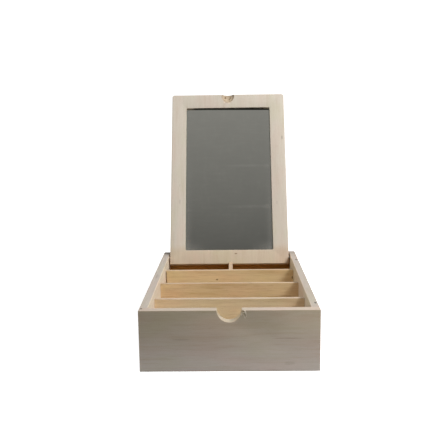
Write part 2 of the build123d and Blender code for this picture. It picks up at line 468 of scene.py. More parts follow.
# Colours of knots, stains and shadows.
KNOT = (0.16, 0.085, 0.035, 1.0)
DIRT = (0.20, 0.17, 0.14, 1.0)
NAIL_STAIN = (0.07, 0.065, 0.06, 1.0)
SHADOW_GAP = (0.026, 0.021, 0.014, 1.0)


def zone(change, *limits):
    """A part of a board whose tone is multiplied by a change.

    Each limit is a direction, and where the change starts and is full along it. The zone is past
    all of its limits.
    """
    return (limits, change)


def skin_at(direction, face, inward):
    """The limit of a board's skin at one face, given the way inward from it, 1 or -1."""
    return (direction, face + inward * 2 * SKIN, face + inward * SKIN)


def top_skin(height, change):
    """A board's top edge takes another tone, here a painted shade."""
    return zone(change, skin_at(Z, height, -1))


def painted_shade_ends(half_width):
    """The two ends of a board that runs across take the painted shade of the box's outside."""
    return [zone(OUTER_PAINTED_SHADE, skin_at(X, side * half_width, -side)) for side in (-1, 1)]


# The parts of a wood's figure: how far each is drawn out along the grain, its scale, its detail
# and its roughness.
BANDS = (0.10, 130.0, 2.0, 0.5)
STREAKS = (0.07, 300.0, 3.0, 0.6)
FIBRES = (0.05, 1000.0, 2.0, 0.7)
TICKS = (0.12, 2300.0, 1.0, 0.5)
CLOUDS = (0.45, 42.0, 2.0, 0.5)
PORES = (1100.0, 2.0, 0.6)
WORN_PATCHES = (420.0, 2.0, 0.6)

# Sizes of a wood's figure, in metres.
RING_SPACING = 0.0045
GRAIN_SWAY = (0.0, 0.006, 0.006)
MARK_RAGGEDNESS = (0.0008, 0.0008, 0.0008)
WORN_WIDTH = 0.0011
GRAIN_DEPTH = 0.00018


def wood_finish(
    name, tone, low, high, grain=ACROSS, on_lid=False, seed=0.0, figure=1.0, marks=(), zones=()
):
    """Bare sanded wood: growth rings in the solid, streaks, fibres, end grain and worn arrises.

    The figure is how strongly the grain shows. Each mark is an outline, its middle, its sizes, its
    strength and its colour.
    """
    finish, tree, shader = new_finish(name)
    source = add_node(tree, "ShaderNodeTexCoord")
    local = source.outputs["Object"]
    if on_lid:
        local = on_lid_board(tree, local)
    grained = turned(tree, local, grain, (seed, 0.37 * seed, 0.61 * seed))
    sway = wander(tree, stretched(tree, grained, 0.5), 22.0, GRAIN_SWAY)
    waved = vectors(tree, "ADD", grained, sway)

    rings = add_node(
        tree,
        "ShaderNodeTexWave",
        {
            "Vector": stretched(tree, grained, 0.12, (0, 0.03, 0.09)),
            "Scale": 0.314 / RING_SPACING,
            "Distortion": 3.6,
            "Detail": 2.0,
            "Detail Scale": 0.22,
            "Detail Roughness": 0.55,
        },
        wave_type="RINGS",
        rings_direction="X",
        wave_profile="SAW",
    ).outputs["Fac"]
    late = maths(tree, "POWER", rings, 2.5)
    bands, streaks, fibres, ticks, clouds = (
        noise(tree, stretched(tree, waved, along), scale, detail, roughness)
        for along, scale, detail, roughness in (BANDS, STREAKS, FIBRES, TICKS, CLOUDS)
    )
    pores = noise(tree, local, *PORES)

    # Each layer is where the tone changes, with its strength, and what the tone is multiplied by.
    shade = colour(tone)
    layers = (
        (maths(tree, "MULTIPLY", late, 0.25 * figure), LATE_WOOD),
        (spread(tree, bands, 0.50, 0.75, 0.0, 0.55 * figure), LATE_WOOD),
        (spread(tree, bands, 0.48, 0.25, 0.0, 0.80 * figure), PALE_BAND),
        (spread(tree, streaks, 0.52, 0.80, 0.0, 0.60 * figure), LATE_WOOD),
        (spread(tree, clouds, 0.45, 0.68, 0.0, 0.65), ROSY),
        (spread(tree, clouds, 0.50, 0.30, 0.0, 0.70), OLIVE),
        (spread(tree, fibres, 0.42, 0.75, 0.0, 0.38 * figure), DARK_FIBRE),
        (spread(tree, ticks, 0.66, 0.80, 0.0, 0.40), DARK_FIBRE),
        (spread(tree, pores, 0.50, 0.75, 0.0, 0.35), DARK_FIBRE),
    )
    for strength, change in layers:
        shade = blend(tree, strength, shade, colour(change), "MULTIPLY")

    axis = Vector((1, 0, 0)) if grain == ACROSS else Vector((0, 1, 0))
    if on_lid:
        axis = Matrix.Rotation(LID_TURN, 3, "X") @ axis
    facing = vectors(tree, "DOT_PRODUCT", source.outputs["Normal"], tuple(axis))
    facing = spread(tree, maths(tree, "ABSOLUTE", facing), 0.75, 0.95, 0.0, 0.85)
    shade = blend(tree, facing, shade, colour(END_GRAIN), "MULTIPLY")

    along = split(tree, local)
    for limits, change in zones:
        past = 1.0
        for direction, start, end in limits:
            past = maths(tree, "MULTIPLY", past, spread(tree, along[direction], start, end))
        shade = blend(tree, past, shade, colour(change), "MULTIPLY")

    edge = near_arris(tree, local, low, high, WORN_WIDTH)
    patchy = spread(tree, noise(tree, local, *WORN_PATCHES), 0.25, 0.75, 0.25, 1.0)
    wear = maths(tree, "MULTIPLY", edge, patchy)
    shade = blend(tree, maths(tree, "MULTIPLY", wear, 0.8), shade, colour(WORN), "MULTIPLY")

    ragged = vectors(tree, "ADD", local, wander(tree, local, 900.0, MARK_RAGGEDNESS))
    for outline, middle, sizes, strength, mark_colour in marks:
        mask = maths(tree, "MULTIPLY", outline(tree, ragged, middle, sizes), strength)
        shade = blend(tree, mask, shade, mark_colour)

    rough = spread(tree, fibres, 0.3, 0.8, 0.56, 0.74)
    rough = maths(tree, "SUBTRACT", rough, maths(tree, "MULTIPLY", wear, 0.10))
    height = maths(tree, "MULTIPLY_ADD", fibres, 0.7, maths(tree, "MULTIPLY", late, -0.25))
    height = maths(tree, "SUBTRACT", height, spread(tree, ticks, 0.62, 0.80, 0.0, 0.5))
    height = maths(tree, "MULTIPLY_ADD", pores, 0.3, height)
    bump = bumps(tree, height, 0.35, GRAIN_DEPTH)
    feed(tree, shader, {"Base Color": shade, "Roughness": rough, "Normal": bump})
    feed(tree, shader, {"IOR": 1.45, "Specular IOR Level": 0.35})
    return finish


# How much of the mirror's shine each kind of dirt takes away.
FILM_DULLING = 0.012
WIPE_DULLING = 0.032
HAZE_DULLING = 0.085

# Where the haze lies on the mirror, in metres: in from its sides, and up from its rear edge.
SIDE_HAZE = 0.013
SIDE_HAZE_OVERRUN = 0.002
SIDE_HAZE_END = 0.16
FOOT_HAZE = 0.020
FOOT_HAZE_WIDTH = 0.035

# The shadow in the gap at the mirror's front edge: its slant, and where it starts and is full.
SHADOW_SLANT = 0.0125
SHADOW_START = 0.0019
SHADOW_FULL = 0.0010

# Wipe marks on the mirror: the middle, the reach and the strength of each.
WIPES = (
    ((0.0280, 0.1324), (0.0400, 0.0028), 0.90),
    ((0.0550, 0.1322), (0.0060, 0.0028), 1.00),
    ((0.0260, 0.0722), (0.0420, 0.0032), 0.75),
    ((0.0530, 0.0722), (0.0110, 0.0044), 0.90),
    ((-0.0330, 0.1150), (0.0024, 0.0400), 0.20),
    ((0.0050, 0.1600), (0.0020, 0.0300), 0.20),
)
WIPE_HEIGHT = 0.004


def mirror_finish(tint, face, low, high):
    """Silvered glass with a thin film of dust, a few wipe marks, hazy sides and a painted shadow along its
    front edge.
    """
    finish, tree, shader = new_finish("silvered_glass")
    local = on_lid_board(tree, add_node(tree, "ShaderNodeTexCoord").outputs["Object"])
    film = spread(tree, noise(tree, local, 30.0, 3.0, 0.6), 0.35, 0.75, 0.0, 0.25)
    rubbed = noise(tree, stretched(tree, local, 0.15), 260.0, 2.0, 0.6)
    film = maths(tree, "ADD", film, spread(tree, rubbed, 0.45, 0.75, 0.0, 0.25))
    upright = turned(tree, local, math.pi / 2)
    rubbed = noise(tree, stretched(tree, upright, 0.2), 200.0, 2.0, 0.6)
    film = maths(tree, "ADD", film, spread(tree, rubbed, 0.5, 0.75, 0.0, 0.20))
    wiped = 0.0
    for place, reach, strength in WIPES:
        mark = spot(tree, local, (*place, face), (*reach, WIPE_HEIGHT), 0.8)
        wiped = maths(tree, "ADD", wiped, maths(tree, "MULTIPLY", mark, strength))

    across, forward, _ = split(tree, local)
    outward = maths(tree, "ABSOLUTE", across)
    half_width, front, rear = high[X], high[Y], low[Y]
    side = spread(tree, outward, half_width - SIDE_HAZE, half_width + SIDE_HAZE_OVERRUN)
    lower = spread(tree, forward, SIDE_HAZE_END, rear - 0.01, 0.15, 1.0)
    side = maths(tree, "MULTIPLY", maths(tree, "POWER", side, 1.5), lower)
    foot = maths(tree, "POWER", spread(tree, forward, rear + FOOT_HAZE, rear), 1.5)
    corner = spread(tree, outward, half_width - FOOT_HAZE_WIDTH, half_width)
    haze = maths(tree, "ADD", side, maths(tree, "MULTIPLY", foot, corner))

    shade = blend(tree, film, colour(tint), colour(tint, (1.10, 1.10, 1.09)))
    edge = maths(tree, "MULTIPLY_ADD", across, SHADOW_SLANT, forward)
    shaded = spread(tree, edge, front - SHADOW_START, front - SHADOW_FULL)
    shade = blend(tree, shaded, shade, SHADOW_GAP)
    metallic = 1.0
    for dirt, dulling in ((film, FILM_DULLING), (wiped, WIPE_DULLING), (haze, HAZE_DULLING)):
        metallic = maths(tree, "MULTIPLY_ADD", dirt, -dulling, metallic)
    rough = maths(tree, "MULTIPLY_ADD", film, 0.03, 0.015)
    feed(tree, shader, {"Base Color": shade, "Metallic": metallic, "Roughness": rough})
    return finish


def plain_finish(name, tint, roughness, metallic=0.0, grain_scale=900.0, depth=0.00005):
    """A small fitting's finish, with fine variation in colour, gloss and surface."""
    finish, tree, shader = new_finish(name)
    source = add_node(tree, "ShaderNodeTexCoord").outputs["Object"]
    fine = noise(tree, source, grain_scale, 3.0, 0.6)
    shade = blend(tree, fine, colour(tint, (0.85, 0.85, 0.85)), colour(tint, (1.1, 1.1, 1.1)))
    rough = spread(tree, fine, 0.2, 0.8, roughness * 0.8, roughness * 1.2)
    bump = bumps(tree, fine, 0.3, depth)
    feed(tree, shader, {"Base Color": shade, "Roughness": rough, "Normal": bump, "Metallic": metallic})
    return finish


# ---- The pieces ----


def at_front(x, z):
    """A place on the front board's outer face."""
    return (x, FRONT_FACE, z)


class Step:
    """A step of the work, done with the scene's sizes and colours."""

    def execute(self, context):
        self.work(context.scene.vanity_box_sizes, context.scene.vanity_box_colours)
        return {"FINISHED"}


class VANITY_OT_notched_front(Step, bpy.types.Operator):
    """Model the front board with its finger notch, worn arrises and splintered shoulder"""

    bl_idname = "vanity_box.notched_front"
    bl_label = "Notched front"

    def work(self, sizes, colours):
        front = add_block("notched_front", FRONT_LOW, FRONT_HIGH)
        combine(front, self.notch_tool(sizes))
        half_width = FRONT_HIGH.x

        def at_end(point):
            return close_to(abs(point.x), half_width) and close_to(point.z, RIM)

        def outer(start, end):
            on_face = close_to(start.y, FRONT_FACE) and close_to(end.y, FRONT_FACE)
            return on_face or (at_end(start) and at_end(end))

        bevel_edges(front, outer, sizes.front_arris)
        rebate_low = (FLOOR_LOW.x - REBATE_PLAY, FLOOR_LOW.y - REBATE_PLAY, -PAST)
        rebate_high = (FLOOR_HIGH.x + REBATE_PLAY, 0, FLOOR_HIGH.z)
        combine(front, add_block("rebate_tool", rebate_low, rebate_high))
        for x in (-BRAD_SPREAD, 0.0, BRAD_SPREAD):
            place = (x, FRONT_BRAD_LINE, FRONT_BRAD_MIDDLE)
            drill = add_rod("brad_drill", BRAD_HOLE, place, FRONT_BRAD_DRILLING, "Z", BRAD_HOLE_SIDES)
            combine(front, drill)
        self.splinter(front)
        smooth(front)

        # The chip's dark streaks are torn fibre with the painted shadow of the tears' walls; its pale
        # streaks are a painted highlight on the lifted slivers.
        torn_and_painted_shadow = (0.22, 0.155, 0.08, 1)
        painted_sliver_highlight = (0.84, 0.73, 0.58, 1)
        olive_stain = (0.20, 0.19, 0.12, 1)
        brown_line = (0.18, 0.12, 0.08, 1)
        grey_line = (0.15, 0.125, 0.10, 1)
        marks = (
            (spot, at_front(0.060, 0.0085), (0.007, 0.003, 0.0024), 0.18, olive_stain),
            (spot, at_front(0.060, 0.0345), (0.020, 0.003, 0.0007), 0.30, brown_line),
            (spot, at_front(-0.049, 0.0335), (0.012, 0.003, 0.0008), 0.30, grey_line),
            (spot, (-0.0883, -0.1270, RIM), (0.0014, 0.0036, 0.001), 0.95, NAIL_STAIN),
            (streak, at_front(0.0119, 0.0630), (at_front(0.0143, 0.0622), 0.0011), 0.75, torn_and_painted_shadow),
            (streak, at_front(0.0149, 0.0620), (at_front(0.0164, 0.0580), 0.0011), 0.90, torn_and_painted_shadow),
            (streak, at_front(0.0156, 0.0634), (at_front(0.0163, 0.0608), 0.0009), 0.90, painted_sliver_highlight),
            (streak, at_front(0.0163, 0.0608), (at_front(0.0170, 0.0575), 0.0008), 0.45, painted_sliver_highlight),
            (streak, at_front(0.0146, 0.0584), (at_front(0.0158, 0.0555), 0.0008), 0.25, painted_sliver_highlight),
            (streak, at_front(0.0113, 0.0627), (at_front(0.0122, 0.0590), 0.0010), 0.60, painted_sliver_highlight),
            (spot, at_front(0.0142, 0.0614), (0.0009, 0.0012, 0.0009), 0.65, painted_sliver_highlight),
        )
        on_face = skin_at(Y, FRONT_FACE, 1)
        cut_side = sizes.notch_radius + 2 * sizes.shoulder_radius
        in_notch = (
            (Y, FRONT_FACE + SKIN, FRONT_FACE + 2 * SKIN),
            (Y, FRONT_HIGH.y - SKIN, FRONT_HIGH.y - 2 * SKIN),
            (Z, RIM - SKIN, RIM - 2 * SKIN),
            (X, -cut_side - SKIN, -cut_side),
            (X, cut_side + SKIN, cut_side),
        )
        # Painted light on the front face: darker going up and towards the left, lighter at the upper right,
        # and a bluer painted shade over the notch's left part.
        painted_shade_higher = (0.92, 0.90, 0.775)
        painted_shade_left = (0.82, 0.82, 0.82)
        painted_light_corner = (1.09, 1.10, 1.11)
        cut_wood = (0.95, 0.86, 0.72)
        painted_notch_shade = (0.72, 0.79, 0.87)
        zones = (
            top_skin(RIM, FRONT_RIM_PAINTED_SHADE),
            zone(OUTER_PAINTED_SHADE, on_face),
            *painted_shade_ends(half_width),
            zone(painted_shade_higher, on_face, (Z, 0.0, RIM)),
            zone(painted_shade_left, on_face, (X, half_width, FRONT_LOW.x)),
            zone(painted_light_corner, on_face, (X, 0.040, 0.070), (Z, 0.030, 0.050)),
            zone(cut_wood, *in_notch),
            zone(painted_notch_shade, *in_notch, (X, 0.009, 0.002)),
        )
        tone = colours.wall_wood
        finish = wood_finish(
            "front_board_wood", tone, FRONT_LOW, FRONT_HIGH, ACROSS, False, 0.31, 0.65, marks, zones
        )
        finish_piece(front, finish, "box", "pale_wood", "front_panel")

    def notch_tool(self, sizes):
        """A round bar that flares out where it meets the board's top edge."""
        radius, shoulder = sizes.notch_radius, sizes.shoulder_radius
        middle_y = (FRONT_LOW.y + FRONT_HIGH.y) / 2
        reach = math.sqrt((radius + shoulder) ** 2 - shoulder**2)
        tangent = shoulder - shoulder * shoulder / (radius + shoulder)
        tool = add_rod("notch_tool", radius, (0, middle_y, RIM), NOTCH_CUT, "Y")
        flare_low = (-reach, middle_y - NOTCH_CUT / 2, RIM - tangent)
        flare_high = (reach, middle_y + NOTCH_CUT / 2, RIM + 2 * PAST)
        flare = add_block("flare_tool", flare_low, flare_high)
        for side in (-1, 1):
            place = (side * reach, middle_y, RIM - shoulder)
            rod = add_rod("shoulder_rod", shoulder, place, NOTCH_CUT + 2 * PAST, "Y", HOLE_SIDES)
            combine(flare, rod)
        combine(tool, flare, "UNION")
        return tool

    def splinter(self, front):
        """Tear the face beside the notch's right shoulder, leaving slivers between the tears.

        Each tear is a place on the face, the pit's half sizes and its turn in degrees.
        """
        tears = (
            ((0.0128, 0.0626), (0.0007, 0.0006, 0.0013), -75),
            ((0.0137, 0.0616), (0.0005, 0.0005, 0.0013), -60),
            ((0.0153, 0.0609), (0.0005, 0.0008, 0.0019), -22),
            ((0.0160, 0.0589), (0.0005, 0.0007, 0.0017), -20),
            ((0.0108, 0.0596), (0.0005, 0.0006, 0.0016), 15),
            ((0.0138, 0.0590), (0.0003, 0.0005, 0.0019), -20),
        )
        for (x, z), pit_sizes, turn in tears:
            combine(front, add_pit("tear_tool", at_front(x, z), pit_sizes, (0, math.radians(turn), 0)))


class VANITY_OT_box_boards(Step, bpy.types.Operator):
    """Finish the bottom sheet and the side and rear boards, each with its own grain and stains, and with
    painted shade and highlights
    """

    bl_idname = "vanity_box.box_boards"
    bl_label = "Bottom, sides and rear"

    def work(self, sizes, colours):
        tone = colours.base_wood
        finish = wood_finish("bottom_sheet_wood", tone, FLOOR_LOW, FLOOR_HIGH, LENGTHWAYS, seed=0.91)
        refinish_node("bottom_panel", finish)
        tone = colours.wall_wood
        outer_x = FRONT_HIGH.x
        inner_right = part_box("right_side_panel")[0].x
        rear_low, rear_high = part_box("rear_panel")
        # The open lid's painted shadow on the rear board's left top corner.
        painted_corner_shadow = (0.07, 0.045, 0.03, 1)

        left_marks = ((spot, (-0.0862, 0.0020, RIM), (0.0022, 0.0130, 0.001), 0.30, DIRT),)
        right_marks = (
            (spot, (0.0880, -0.1115, RIM), (0.0016, 0.0034, 0.001), 0.95, NAIL_STAIN),
            (spot, (0.0875, 0.0830, RIM), (0.0015, 0.0052, 0.001), 0.85, NAIL_STAIN),
        )
        rear_marks = (
            (spot, (-0.0855, 0.1325, RIM), (0.0080, 0.0070, 0.0020), 0.80, painted_corner_shadow),
            (spot, (0.0862, 0.1325, RIM), (0.0045, 0.0060, 0.0020), 0.35, DIRT),
        )

        inside = skin_at(X, inner_right, 1)
        on_arris = ((X, inner_right + 0.0017, inner_right + 0.0009), (Z, RIM - 0.0007, RIM - 0.0003))
        warmer_inside = (0.99, 0.96, 0.87)
        # A painted highlight along the right board's inner top arris.
        painted_arris_highlight = (1.18, 1.12, 1.08)
        # Painted shade on the right board's inner face beside the open lid, and on the rear board's inner
        # face behind it.
        painted_shade_beside_lid = (0.45, 0.38, 0.28)
        painted_shade_behind_lid = (0.58, 0.30, 0.06)
        right_zones = (
            zone(warmer_inside, inside, (Y, -0.02, 0.03)),
            zone(painted_arris_highlight, *on_arris),
            zone(painted_shade_beside_lid, inside, (Y, 0.106, 0.116)),
        )
        rear_zones = (zone(painted_shade_behind_lid, skin_at(Y, rear_low.y, 1)), *painted_shade_ends(outer_x))

        left_face = (X, SKIN - outer_x, -outer_x)
        right_face = (X, outer_x - SKIN, outer_x)
        rear_face = skin_at(Y, rear_high.y, -1)
        boards = (
            ("left_side_panel", LENGTHWAYS, 0.73, left_marks, left_face, ()),
            ("right_side_panel", LENGTHWAYS, 0.19, right_marks, right_face, right_zones),
            ("rear_panel", ACROSS, 0.52, rear_marks, rear_face, rear_zones),
        )
        for node, grain, seed, marks, outer_face, more in boards:
            low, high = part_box(node)
            zones = (top_skin(RIM, RIM_PAINTED_SHADE), zone(OUTER_PAINTED_SHADE, outer_face), *more)
            finish = wood_finish(node + "_wood", tone, low, high, grain, False, seed, 0.7, marks, zones)
            refinish_node(node, finish)


class VANITY_OT_partitions(Step, bpy.types.Operator):
    """Finish the three cross partitions and the divider"""

    bl_idname = "vanity_box.partitions"
    bl_label = "Partitions"

    def work(self, sizes, colours):
        tone = colours.partition_wood
        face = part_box("rear_partition")[0].y
        # The first mark is a knot; the two at the partition's ends are painted shade in the gaps beside the
        # side boards.
        knot_and_end_shade = (
            (spot, (-0.0160, face, 0.0430), (0.0018, 0.001, 0.0013), 0.75, KNOT),
            (spot, (0.0806, face, 0.0450), (0.0009, 0.001, 0.0024), 0.85, KNOT),
            (patch, (-0.0811, face, 0.0450), (0.0009, 0.001, 0.0100), 0.75, KNOT),
        )
        pale = (1.10, 1.185, 1.33)
        rather_pale = (1.05, 1.065, 1.05)
        hardly_pale = (1.025, 1.01, 1.02)
        plain = (1, 1, 1)
        boards = (
            ("front_partition", ACROSS, 0.15, 1.25, (), pale),
            ("middle_partition", ACROSS, 0.44, 1.8, (), hardly_pale),
            ("rear_partition", ACROSS, 0.67, 1.5, knot_and_end_shade, rather_pale),
            ("centre_divider", LENGTHWAYS, 0.28, 1.5, (), plain),
        )
        for node, grain, seed, figure, marks, change in boards:
            low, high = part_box(node)
            toned = colour(tone, change)
            zones = (top_skin(high.z, PARTITION_TOP_PAINTED_SHADE),)
            finish = wood_finish(node + "_wood", toned, low, high, grain, False, seed, figure, marks, zones)
            refinish_node(node, finish)


class VANITY_OT_lid_surround(Step, bpy.types.Operator):
    """Model the lid's frame with its mirror window and finger scoop, and finish its backing"""

    bl_idname = "vanity_box.lid_surround"
    bl_label = "Lid surround and backing"

    def work(self, sizes, colours):
        tone = colours.lid_wood
        half = sizes.lid_width / 2
        face = sizes.lid_face
        low = (-half, sizes.lid_rear, sizes.backing_thickness - face)
        high = (half, sizes.lid_front, face)
        surround = add_block("lid_surround", low, high)
        round_corners(surround, sizes.lid_front_corner, lambda y: y > 0)
        round_corners(surround, sizes.lid_rear_corner, lambda y: y < 0)
        window_edge = sizes.lid_front - sizes.front_border
        window = add_block(
            "window_tool",
            (sizes.side_border - half, sizes.lid_rear + sizes.rear_border, -WINDOW_CUT),
            (half - sizes.side_border, window_edge, WINDOW_CUT),
        )
        round_corners(window, sizes.window_corner)
        combine(surround, window)
        round_face(surround, face, sizes.lid_arris)
        scoop_middle = sizes.lid_front - sizes.scoop_inset
        scoop_floor = face - sizes.scoop_depth
        ball = (sizes.scoop_radius**2 + sizes.scoop_depth**2) / (2 * sizes.scoop_depth)
        combine(surround, add_ball("scoop_tool", ball, (0, scoop_middle, scoop_floor + ball)))
        drilling = sizes.pivot_hole_depth + PAST
        for side in (-1, 1):
            middle = (side * (half - sizes.pivot_hole_depth / 2 + PAST / 2), 0, 0)
            combine(surround, add_rod("pivot_drill", sizes.pivot_hole, middle, drilling, "X", HOLE_SIDES))

        def in_scoop(x, y):
            """The place on the scoop's round bottom above a point."""
            away = math.hypot(x, y - scoop_middle)
            return (x, y, scoop_floor + ball - math.sqrt(ball**2 - away**2))

        pits = (
            (in_scoop(-0.0038, 0.2364), (0.0009, 0.0011, 0.0008), 0),
            (in_scoop(0.0032, 0.2364), (0.0007, 0.0014, 0.0007), 0.4),
            (in_scoop(0.0023, 0.2335), (0.0008, 0.0011, 0.0006), -0.7),
            (in_scoop(-0.0042, 0.2311), (0.0008, 0.0008, 0.0005), 0.3),
        )
        for middle, pit_sizes, turn in pits:
            combine(surround, add_pit("pit_tool", middle, pit_sizes, (0, 0, turn)))
        smooth(surround)
        place_on_lid(surround)

        fresh = colour(tone, (0.75, 0.64, 0.50))
        fleck = colour(tone, (1.22, 1.13, 1.02))
        burnt = (0.26, 0.15, 0.06, 1)
        olive = (0.22, 0.16, 0.08, 1)
        # The right board's painted shadow on the lid's lower right corner, beside its pivot.
        painted_corner_shadow = (0.24, 0.13, 0.055, 1)
        scoop = (0, scoop_middle, scoop_floor)
        mouth = (0, scoop_middle, face)
        mouth_edge = sizes.scoop_radius
        # Painted shadow of the scoop's right wall: the olive crescent inside it and the spot at its right
        # edge.
        scoop_shadow_middle = (0.0004, scoop_middle - 0.0004, face - 0.0014)
        edge_shadow_middle = (mouth_edge - 0.0009, scoop_middle + 0.0005, face - 0.0006)
        # A painted shadow on the window's front wall, above the mirror's front edge.
        front_lip = (0, window_edge, 0.0016)
        lip_sizes = (half - sizes.side_border + 0.0004, 0.0006, 0.0024)
        marks = (
            (ring, mouth, (mouth_edge - 0.0044, 0.0048, 0.0046), 0.85, fresh),
            (spot, scoop, (0.0080, 0.0080, 0.0030), 0.85, fresh),
            (ring, mouth, (mouth_edge - 0.0012, 0.0018, 0.0030), 0.60, fresh),
            (ring, mouth, (mouth_edge - 0.0008, 0.0009, 0.0016), 0.20, burnt),
            (spot, (0.0004, 0.2292, face), (0.0062, 0.0030, 0.0016), 0.60, fresh),
            (crescent, scoop_shadow_middle, (0.0076, 0.0015, 0.0028), 0.40, olive),
            (spot, edge_shadow_middle, (0.0018, 0.0040, 0.0024), 0.15, olive),
            (spot, in_scoop(-0.0038, 0.2366), (0.0017, 0.0018, 0.0016), 1.00, burnt),
            (spot, in_scoop(0.0032, 0.2364), (0.0012, 0.0020, 0.0014), 0.75, olive),
            (spot, in_scoop(0.0023, 0.2335), (0.0015, 0.0014, 0.0014), 0.75, olive),
            (spot, in_scoop(-0.0042, 0.2311), (0.0020, 0.0017, 0.0014), 0.45, burnt),
            (spot, in_scoop(-0.0016, 0.2337), (0.0017, 0.0012, 0.0014), 0.35, fleck),
            (spot, (-0.0050, 0.2280, face), (0.0016, 0.0017, 0.0014), 0.80, fleck),
            (spot, (0.0016, 0.2270, face), (0.0017, 0.0015, 0.0014), 0.75, fleck),
            (spot, (-0.0083, 0.2366, face), (0.0010, 0.0014, 0.001), 0.45, DIRT),
            (spot, (0.0090, 0.0047, face), (0.0024, 0.0011, 0.001), 0.70, KNOT),
            (spot, (0.0764, 0.1727, face), (0.0012, 0.0036, 0.001), 0.50, DIRT),
            (spot, (half, sizes.lid_rear, face), (0.0100, 0.0110, 0.006), 0.28, painted_corner_shadow),
            (spot, (half + 0.0003, sizes.lid_rear, face), (0.0046, 0.0100, 0.006), 0.40, painted_corner_shadow),
            (spot, (-0.0680, 0.0792, face), (0.0016, 0.0046, 0.001), 0.18, DIRT),
            (spot, (-0.0683, 0.1026, face), (0.0012, 0.0030, 0.001), 0.12, DIRT),
            (spot, (0.0667, 0.0764, face), (0.0014, 0.0034, 0.001), 0.15, DIRT),
            (patch, front_lip, lip_sizes, 0.95, SHADOW_GAP),
        )
        # Painted shade: the lid's foot, near the box, is darker and warmer.
        painted_shade_foot = (0.92, 0.85, 0.76)
        zones = (zone(painted_shade_foot, (Y, 0.020, 0.006)),)
        finish = wood_finish(
            "lid_surround_wood", tone, low, high, LENGTHWAYS, True, 0.08, 0.6, marks, zones
        )
        finish_piece(surround, finish, "lid", "pale_wood", "lid_frame")

        low = (-half, sizes.lid_rear, -face)
        high = (half, sizes.lid_front, sizes.backing_thickness - face)
        finish = wood_finish("lid_backing_wood", tone, low, high, LENGTHWAYS, True, seed=0.57, figure=0.8)
        refinish_node("lid_backing", finish)


class VANITY_OT_mirror(Step, bpy.types.Operator):
    """Model the mirror with rounded corners and a ground edge"""

    bl_idname = "vanity_box.mirror"
    bl_label = "Mirror"

    def work(self, sizes, colours):
        half = sizes.lid_width / 2 - sizes.side_border - sizes.glass_gap
        top = sizes.glass_back + sizes.glass_thickness
        low = (-half, sizes.lid_rear + sizes.rear_border + sizes.glass_gap, sizes.glass_back)
        high = (half, sizes.lid_front - sizes.front_border - sizes.glass_gap, top)
        plate = add_block("mirror_plate", low, high)
        round_corners(plate, sizes.glass_corner)
        round_face(plate, top, sizes.glass_seam, SEAM_STEPS)
        faces_up = [face.normal.z > 0.99 for face in plate.data.polygons]
        place_on_lid(plate)
        silver = mirror_finish(colours.silver, top, low, high)
        edge = plain_finish("ground_glass_edge", colours.glass_edge, 0.35)
        finish_piece(plate, silver, "lid", "mirror", "mirror_glass")
        plate.data.materials.append(edge)
        for face, is_up in zip(plate.data.polygons, faces_up):
            face.material_index = 0 if is_up else 1


class VANITY_OT_fittings(Step, bpy.types.Operator):
    """Finish the tape, the pivot pins and the brads"""

    bl_idname = "vanity_box.fittings"
    bl_label = "Tape, pins and brads"

    def work(self, sizes, colours):
        steel = plain_finish("dull_steel", colours.steel, 0.38, 1.0)
        for node in frame["nodes"]:
            if node.endswith(("_pin", "_brads")):
                refinish_node(node, steel)
        refinish_node("mirror_tape", plain_finish("foam_tape", colours.tape, 0.8, 0.0, 2500.0, 0.0001))


# ---- The studio ----

# The floor's radius, and how much it widens and rises at each step outwards.
FLOOR_RADIUS = 2.0
FLOOR_SWEEP = ((1.15, 0.03), (1.12, 0.12), (1.08, 0.25), (1.05, 0.45), (1.02, 0.6))

WARM_WHITE = (1.0, 0.985, 0.955)
COOL_WHITE = (0.86, 0.94, 1.0)

# Each lamp's name, place, size, power and tint.
LAMPS = (
    ("key_lamp", (0.70, -0.30, 0.93), (0.35, 0.35), 10.6, WARM_WHITE),
    ("side_lamp", (-0.90, -0.30, 0.90), (0.8, 0.8), 3.5, WARM_WHITE),
    ("front_lamp", (0.65, -1.00, 0.75), (0.5, 0.5), 1.9, WARM_WHITE),
)
LAMP_TARGET = (0, 0, 0.08)

# A glow that lies on the floor before the box.
BOUNCE_PLACE = (0, -0.182, 0.0002)
BOUNCE_SIZE = (0.34, 0.092)

# How grey the surroundings are at each height, from straight down, 0, to straight up, 1.
ROOM_FOOT = 0.04
ROOM_TOP = 0.8
ROOM_GREYS = ((0.65, 0.037), (0.74, 0.083), (0.80, 0.112), (0.825, 0.160), (0.883, 0.250))
ROOM_WARMTH = 0.93

# The camera's place in metres, turns in radians and lens in millimetres.
CAMERA_PLACE = (0.00283, -0.76338, 0.26051)
CAMERA_PITCH = math.radians(9.3956)
CAMERA_YAW = math.radians(-1.1875)
CAMERA_ROLL = math.radians(0.788)
CAMERA_LENS = 54.647


